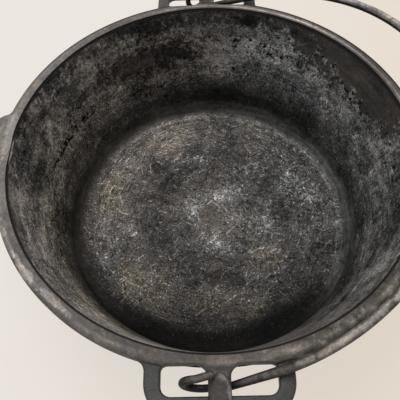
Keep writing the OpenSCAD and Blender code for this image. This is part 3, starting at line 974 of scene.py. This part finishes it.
def floor_iron(p, look):
    """Tone and tint of the floor: scoured pale in the middle and left, and black near the front."""
    rings = p.rings(5, 0.75)
    fine = p.rings(9, 1.7, 2)
    outer = p.step(p.radius, 55, 85)
    middle = p.step(p.radius, 11, 7)
    speck = p.swing(0.8, 2, 0.6, shift=13)
    rough = p.cloud * 0.7 + p.mottle * 1.0 + p.blotch * 1.3 + p.grain * 1.5 + speck * 1.6
    rough = rough + rings * (0.5 + outer * 0.6) + fine * (0.3 + outer * 0.3)
    tone = 0.405 - p.step(p.radius + p.ragged * 4, 14, 36) * 0.095 + p.step(p.radius, 50, 70) * 0.005
    tone = tone + p.sector(243, 55, 28) * p.step(p.radius, 52, 68) * 0.075 + p.sector(95, 40, 25) * 0.02
    # Darker towards the front right: partly painted shade, partly dark seasoning
    tone = tone - p.sector(20, 42, 25) * p.step(p.radius + p.ragged * 6, 60, 86) * 0.10
    tone = tone + p.sector(180, 40, 25) * p.step(p.radius, 66, 84) * 0.025
    tone = tone - p.sector(290, 36, 20) * p.step(p.radius + p.ragged * 4, 86, 98) * 0.10
    tone = tone * (1 + rough * (1 - middle * 0.5))
    tan = middle * 0.5
    for x, y, long, wide, turn, change, share in FLOOR_SPOTS:
        mask = p.spot(x, y, long, wide, turn, 0.55)
        tone = tone * (1 + mask * change)
        if share:
            tan = tan + mask * share
    gather = 0.0
    for x, y, long, wide, turn in FLECK_SPOTS:
        gather = p.math("MAXIMUM", p.spot(x, y, long, wide, turn, 0.6), gather)
    bits = p.swing(3.6, 6, 0.72, shift=7)
    flecks = p.step(bits + gather * 0.10, 0.10, 0.13) * (1 - middle)
    crumbs = p.swing(1.7, 4, 0.7, shift=14) + gather * 0.09 + p.mottle * 0.15
    crumbs = p.step(crumbs, 0.11, 0.145) * (1 - middle)
    flecks = p.clamp(flecks * 0.9 + crumbs * 0.7)
    tone = tone * (1 + flecks * 0.68)
    holes = p.step(p.swing(3.4, 6, 0.72, shift=10) + p.sector(75, 40, 30) * 0.04, 0.09, 0.12)
    tone = tone * (1 - holes * 0.42)
    pale = p.scratches((20, 34, 62, 118, 146), 1.3, 24, 0.25)
    dark = p.scratches((38, 80, 142), 1.6, 18, 0.25)
    arcs = p.math("MAXIMUM", p.rings(22, 0.06, 4, 2.0, 1), p.rings(20, 0.07, 6, -2.8, 1))
    arcs = p.step(arcs, 0.17, 0.22) * (0.2 + outer * 0.8)
    tone = tone * (1 + pale * 0.65 + arcs * 0.36 - dark * 0.30)
    # Painted highlight: a light line along the floor's edge, round the far right
    line = p.between(p.radius + p.ragged * 0.8, 95, 101, 1.5) * p.sector(145, 85, 18)
    tone = tone * (1 + line * 0.34)
    shade = p.step(p.radius + p.ragged * 3, 84, 95) * p.sector(2, 44, 20)
    colour = p.colours(0.35 + p.cloud * 2, solid(look.seasoning), solid(look.brown))
    colour = p.colours(p.sector(85, 60, 25) * p.step(p.radius, 10, 40) * 0.35, colour, solid(look.bare))
    colour = p.colours(p.clamp(tan), colour, solid(look.tan))
    colour = p.colours(flecks * 0.7, colour, solid(look.bare))
    return tone * (1 - shade * (0.72 - crumbs * 0.4)), colour


def bowl_paint(pot, look):
    """The bowl: scoured floor, mottled wall, baked-on dark bands, a dark cove partly of painted shade, and black
    seasoning outside.
    """
    p = Paint("bowl_iron")
    depth = pot.pot_h / MM - p.z
    wall, wall_tint, rough, relief = wall_iron(p, pot, look)
    floor, floor_tint = floor_iron(p, look)
    # The cove is darker than the wall, darkest at the front: partly painted shade where wall meets floor, partly
    # black seasoning
    cove = 0.26 * (1 + p.sector(88, 35, 25) * 0.26 - p.sector(4, 45, 22) * 0.56 - p.sector(300, 40, 30) * 0.25)
    cove = cove * (1 + p.cloud * 0.9 + p.mottle * 0.8 + p.blotch * 0.9 + p.rings(3, 0.5, 5) * 1.4)
    on_floor = p.step(p.radius + p.ragged * 1.5, 103, 95)
    inside = p.mix(p.step(depth + p.ragged * 0.8, 77, 84), wall, cove)
    inside = p.mix(on_floor, inside, floor)

    soot = p.node("ShaderNodeMapping", {}, {"Vector": p.unrolled(), "Scale": (1 / 8, 1 / 40, 1)})
    runs = p.swing(1, 4, 0.6, 2, soot.outputs[0])
    worn = p.between(p.z + p.ragged * 6, 3, 15, 4) * p.step(p.swing(7, 4, 0.65, shift=15), 0.0, 0.10)
    outside = 0.175 * (1 + p.cloud * 1.3 + p.mottle * 1.1 + p.blotch * 1.1 + p.grain * 0.8 + runs * 0.9)
    outside = outside * (1 + worn * 0.7)
    wall_r = (p.z - (pot.pot_h - pot.seat_h) / MM) * pot.wall_lean + (pot.rim_r - pot.rim_w - pot.seat_w) / MM
    is_in = p.step(p.radius - wall_r, 3, 1.5) * p.step(p.z, 1.5, 3)
    tone = p.mix(is_in, outside, inside)
    colour = p.colours(on_floor, wall_tint, floor_tint)
    rusty = p.clamp(worn * 0.8 + p.step(p.cloud + p.mottle * 0.5, 0.0, 0.16) * 0.7)
    outer_tint = p.colours(rusty, solid(look.seasoning), solid(look.brown))
    colour = p.colours(is_in, outer_tint, colour)
    return p.surface(tone, colour, rough, relief, 0.4, gloss=0.16)


def rim_paint(pot, look):
    """The rim: worn grey on top with pale patches, a dark line of painted shade at the lid seat, and painted shade on
    the outer slope.
    """
    p = Paint("rim_iron")
    wall, wall_tint, wall_rough, wall_relief = wall_iron(p, pot, look)
    fleck = p.swing(2.6, 5, 0.7, shift=11)
    tone = 0.335 * (1 + p.cloud * 0.6 + p.mottle * 0.6 + p.blotch * 0.5 + fleck * 0.4 + p.grain * 0.4)
    for bearing, spread, middle, half, change in RIM_PATCHES:
        tone = tone * (1 + p.patch(bearing, spread, p.radius, middle, half, 0.15) * change)
    tone = tone * (1 + p.step(fleck + p.mottle * 0.4, 0.11, 0.15) * 0.14)
    tone = tone * (1 + p.sector(42, 26, 12) * (p.mottle * 1.4 + p.blotch * 0.8 - 0.12))
    ridge_r = (pot.rim_r - pot.slope_w) / MM
    ridge = p.between(p.radius, ridge_r - 0.4, ridge_r + 0.9, 0.7)
    pale = p.between(p.radius + p.ragged * 0.3, ridge_r - 2.2, ridge_r - 0.8, 0.5) * p.sector(140, 56, 20)
    tone = tone * (1 + ridge * 0.10 + pale * 0.50)
    for bearing, spread, change in ((262, 24, 0.26), (306, 18, 0.18), (80, 24, 0.20), (218, 26, 0.18)):
        tone = tone * (1 + p.sector(bearing, spread, 15) * change)
    # Painted shade on the rim's outer slope, stronger on the far side; the same band also takes the yellowed-oil tint
    band = p.step(p.radius + p.ragged * 0.4, ridge_r + 1, ridge_r + 2.8) * p.step(p.radius, ridge_r + 5, ridge_r + 4)
    tone = tone * (1 - band * (0.12 + p.sector(160, 75, 25) * 0.34))
    seat_r = (pot.rim_r - pot.rim_w) / MM
    top_z = pot.pot_h / MM
    # Painted shade: a dark line in the lid seat's step
    seat = p.step(p.radius, seat_r + 0.5, seat_r - 0.1) * p.step(p.z, top_z - 2.5, top_z - 1.7)
    tone = p.mix(seat, tone, 0.10)
    inner = p.step(p.radius, seat_r - 0.6, seat_r - 1.0) * p.step(p.z, top_z - 1.3, top_z - 1.9)
    tone = p.mix(inner, tone, wall)
    tone = tone * (1 - p.step(p.z, top_z - 4.5, top_z - 6.5) * (1 - inner) * 0.45)
    colour = p.colours(p.step(p.mottle, -0.1, 0.12), solid(look.seasoning), solid(look.brown))
    tan = p.patch(0, 5, p.radius, 124.5, 3.5) + p.patch(20, 12, p.radius, 126, 2) * 0.4
    colour = p.colours(p.clamp(tan), colour, solid(look.tan))
    colour = p.colours(p.clamp(band + p.sector(40, 30, 15)) * 0.7, colour, solid(look.oil))
    colour = p.colours(inner, colour, wall_tint)
    relief = p.mix(inner, p.mottle * 0.6 + p.blotch * 0.5 + p.grain * 0.4, wall_relief)
    return p.surface(tone, colour, p.mix(inner, 0.6 + p.grain * 0.3, wall_rough), relief, 0.4, gloss=0.16)


def ear_paint(pot, ear, look):
    """The ears and lugs: dark seasoning, with a painted highlight along the lugs' right edges and crests."""
    p = Paint("ear_iron", cloud=16, mottle=5, blotch=2.2, grain=1.0)
    rough = p.cloud * 0.7 + p.mottle * 0.8 + p.blotch * 0.8 + p.grain * 0.6
    tone = 0.20 * (1 + rough)
    outer = (pot.rim_r + ear.ear_reach - ear.bar_w) / MM
    half_w, half_l = ear.lug_w / 2 / MM, (ear.ear_reach - ear.bar_w - ear.crest_gap) / MM
    back = p.math("MAXIMUM", outer - p.math("ABSOLUTE", p.y), 0.0) * (1 / half_l)
    side = p.x * (1 / half_w)
    edge = (side * side + back * back) ** 0.5 + p.ragged * 0.1
    raised = p.step(p.z, pot.pot_h / MM - 1.6, pot.pot_h / MM - 0.6)
    right = p.step(p.x * p.math("SIGN", p.y), 1.5, -1.0)
    # Painted highlight along each lug's right edge and crest
    ridge = p.between(edge, 0.66, 0.94, 0.12) * right * raised
    neck = p.step(p.math("ABSOLUTE", p.y), 133, 130) * raised
    tone = tone * (1 + ridge * 1.2 + raised * 0.26 + neck * 0.25)
    colour = p.colours(p.step(p.mottle, -0.08, 0.12), solid(look.bare), solid(look.seasoning))
    far = p.step(p.y, 0, 100)
    tone = tone * (1 + far * 0.35)
    colour = p.colours(p.clamp(raised + far) * 0.6, colour, solid(look.brown))
    relief = p.mottle * 0.7 + p.blotch * 0.8 + p.grain * 0.5
    return p.surface(tone, colour, 0.5 + p.grain * 0.3, relief, 0.3, gloss=0.4)


def wire_paint(look):
    """The bail: drawn wire gone brown-grey, with painted shade underneath and a painted highlight along its top."""
    p = Paint("bail_steel", cloud=18, mottle=5, blotch=2.0, grain=0.9)
    made = p.node("ShaderNodeAttribute", {"attribute_name": "rise"})
    rise = Value(p, made.outputs["Fac"]) + p.mottle * 0.4 + p.blotch * 0.2
    tone = 0.45 * (1 + p.cloud * 1.1 + p.mottle * 0.9 + p.blotch * 0.6 + p.grain * 0.4)
    # Painted highlight along the wire's top and painted shade underneath, from how far each side faces up
    top_highlight = p.step(rise, 0.66, 0.94)
    shade = p.step(rise, 0.50, -0.05)
    tone = tone * (1 + top_highlight * 0.45) * (1 - shade * 0.74)
    tone = tone * (1 - p.step(p.x, 60, 24) * 0.42)
    stain = p.step(p.swing(9, 4, 0.6, shift=12), 0.04, 0.14)
    # Real stains, and the low hook strands darkened: partly painted shade under the upper strands, partly dirt
    tone = tone * (1 - stain * 0.35) * (1 - p.step(p.z, 95, 90) * 0.5)
    colour = p.colours(p.step(p.y, 40, -60) * 0.5 + 0.3 + p.cloud * 3, solid(look.seasoning), solid(look.tan))
    relief = p.mottle * 0.7 + p.blotch * 0.8 + p.grain * 0.4
    return p.surface(tone, colour, 0.6 + p.grain * 0.3, relief, 0.20, 0.1, gloss=0.35)


class DUTCHOVEN_OT_bowl(bpy.types.Operator):
    """Model the bowl with its floor, wall and cove"""

    bl_idname = "dutchoven.bowl"
    bl_label = "Bowl"

    def execute(self, context):
        pot = sizes()[0]
        material = bowl_paint(pot, context.scene.iron_finish)
        place_piece(make_bowl(pot), material, "seasoned_iron", "pot", "bowl")
        return {"FINISHED"}


class DUTCHOVEN_OT_rim(bpy.types.Operator):
    """Model the rim with its lid seat and both spouts"""

    bl_idname = "dutchoven.rim"
    bl_label = "Rim and Spouts"

    def execute(self, context):
        pot, ear, _ = sizes()
        material = rim_paint(pot, context.scene.iron_finish)
        place_piece(
            make_rim(pot, ear), material, "seasoned_iron", "pot", "rim", "left_spout", "right_spout")
        return {"FINISHED"}


class DUTCHOVEN_OT_ears(bpy.types.Operator):
    """Model both ears and the lugs that the bail hooks round"""

    bl_idname = "dutchoven.ears"
    bl_label = "Ears and Lugs"

    def execute(self, context):
        pot, ear, bail = sizes()
        material = ear_paint(pot, ear, context.scene.iron_finish)
        for end, side in (("front", -1), ("rear", 1)):
            piece = make_ear(pot, ear, end + "_ear_casting", side)
            place_piece(piece, material, "seasoned_iron", "pot", end + "_ear")
            piece = make_lug(pot, ear, bail, end + "_lug_casting", side)
            place_piece(piece, material, "seasoned_iron", "pot", end + "_bail_lug")
        return {"FINISHED"}


class DUTCHOVEN_OT_bail(bpy.types.Operator):
    """Model the wire bail with its two hooks"""

    bl_idname = "dutchoven.bail"
    bl_label = "Bail"

    def execute(self, context):
        pot, ear, bail = sizes()
        piece = make_bail(pot, ear, bail)
        place_piece(piece, wire_paint(context.scene.iron_finish), "bail_wire", "bail", "bail")
        return {"FINISHED"}


def soft_sky(look):
    """An even sky, which the camera and reflections see as a pale backdrop."""
    world = bpy.data.worlds.new("soft_sky")
    world.use_nodes = True
    nodes, links = world.node_tree.nodes, world.node_tree.links
    light = nodes["Background"]
    light.inputs["Color"].default_value = solid(look.sky)
    light.inputs["Strength"].default_value = look.sky_strength
    seen = nodes.new("ShaderNodeBackground")
    seen.inputs["Color"].default_value = solid(look.table)
    path = nodes.new("ShaderNodeLightPath")
    direct = None
    for kind in ("Is Camera Ray", "Is Glossy Ray", "Is Transmission Ray"):
        added = nodes.new("ShaderNodeMath")
        added.use_clamp = True
        links.new(path.outputs[kind], added.inputs[0])
        if direct:
            links.new(direct, added.inputs[1])
        else:
            added.inputs[1].default_value = 0
        direct = added.outputs[0]
    mixed = nodes.new("ShaderNodeMixShader")
    links.new(direct, mixed.inputs[0])
    links.new(light.outputs[0], mixed.inputs[1])
    links.new(seen.outputs[0], mixed.inputs[2])
    links.new(mixed.outputs[0], nodes["World Output"].inputs["Surface"])
    return world


class DUTCHOVEN_OT_stage(bpy.types.Operator):
    """Set up the table, the light and the camera"""

    bl_idname = "dutchoven.stage"
    bl_label = "Stage"

    def execute(self, context):
        look = context.scene.stage_look
        pot_h = context.scene.pot_sizes.pot_h
        bm = bmesh.new()
        bmesh.ops.create_grid(bm, x_segments=1, y_segments=1, size=3.0)
        mesh = bpy.data.meshes.new("table")
        bm.to_mesh(mesh)
        bm.free()
        table = bpy.data.objects.new("table", mesh)
        context.scene.collection.objects.link(table)
        paint = Paint("table_top")
        # Painted falloff of light across the table
        light_falloff = paint.x * 0.0022 - paint.y * 0.0006 + paint.swing(60, 3, 0.5) * 0.3
        colour = paint.colours(paint.step(light_falloff, -0.4, 0.7), solid(look.table), solid(look.table_dimmed))
        shader = paint.node("ShaderNodeBsdfPrincipled", {}, {"Base Color": colour, "Roughness": 0.8})
        glow = paint.node("ShaderNodeEmission", {}, {"Color": colour, "Strength": 1.0})
        path = paint.node("ShaderNodeLightPath")
        seen = sum((Value(paint, path.outputs[kind]) for kind in ("Is Glossy Ray", "Is Transmission Ray")),
                   Value(paint, path.outputs["Is Camera Ray"]))
        mixed = paint.node("ShaderNodeMixShader", {}, {
            0: paint.clamp(seen) * look.table_glow, 1: shader.outputs[0], 2: glow.outputs[0]})
        paint.tree.links.new(mixed.outputs[0], paint.output.inputs[0])
        mesh.materials.append(paint.material)

        context.scene.world = soft_sky(look)
        lamp = bpy.data.lights.new("overhead", "AREA")
        lamp.shape = "DISK"
        lamp.size = 0.7
        lamp.energy = look.lamp_power
        holder = bpy.data.objects.new("overhead", lamp)
        holder.location = (-0.2, 0.2, 1.1)
        aim = Vector((0, 0, 0.05)) - holder.location
        holder.rotation_euler = aim.to_track_quat("-Z", "Y").to_euler()
        context.scene.collection.objects.link(holder)

        turn, rise = look.camera_turn, look.camera_rise
        back = Vector((math.sin(turn) * math.cos(rise), -math.cos(turn) * math.cos(rise), math.sin(rise)))
        right = Vector((math.cos(turn), math.sin(turn), 0))
        up = back.cross(right)
        roll = look.camera_roll
        side = right * math.cos(roll) + up * math.sin(roll)
        above = up * math.cos(roll) - right * math.sin(roll)
        camera = bpy.data.cameras.new("view")
        camera.sensor_width = 36
        camera.lens = 18 / math.tan(look.view_angle / 2)
        camera.clip_start = 0.01
        seer = bpy.data.objects.new("view", camera)
        where = Vector((look.aim_x, look.aim_y, pot_h)) + back * look.camera_away
        turned = Matrix((side, above, back)).transposed().to_4x4()
        seer.matrix_world = Matrix.Translation(where) @ turned
        context.scene.collection.objects.link(seer)
        context.scene.camera = seer
        context.scene.view_settings.view_transform = "Standard"
        return {"FINISHED"}


class DUTCHOVEN_PT_panel(bpy.types.Panel):
    """Lists the pieces of the dutch oven"""

    bl_idname = "DUTCHOVEN_PT_panel"
    bl_label = "Dutch Oven"
    bl_space_type = "VIEW_3D"
    bl_region_type = "UI"
    bl_category = "Dutch Oven"

    def draw(self, context):
        for operator in OPERATORS:
            self.layout.operator(operator.bl_idname)


OPERATORS = (
    DUTCHOVEN_OT_bowl,
    DUTCHOVEN_OT_rim,
    DUTCHOVEN_OT_ears,
    DUTCHOVEN_OT_bail,
    DUTCHOVEN_OT_stage,
)
GROUPS = {
    "pot_sizes": PotSizes,
    "ear_sizes": EarSizes,
    "bail_sizes": BailSizes,
    "stage_look": StageLook,
    "iron_finish": IronFinish,
}


def register():
    for kind in (*GROUPS.values(), *OPERATORS, DUTCHOVEN_PT_panel):
        bpy.utils.register_class(kind)
    for name, kind in GROUPS.items():
        setattr(bpy.types.Scene, name, PointerProperty(type=kind))


def unregister():
    for name in GROUPS:
        delattr(bpy.types.Scene, name)
    for kind in (DUTCHOVEN_PT_panel, *reversed(OPERATORS), *reversed(GROUPS.values())):
        bpy.utils.unregister_class(kind)


def main():
    register()
    bpy.ops.dutchoven.bowl()
    bpy.ops.dutchoven.rim()
    bpy.ops.dutchoven.ears()
    bpy.ops.dutchoven.bail()
    bpy.ops.dutchoven.stage()


if __name__ == "__main__":
    main()
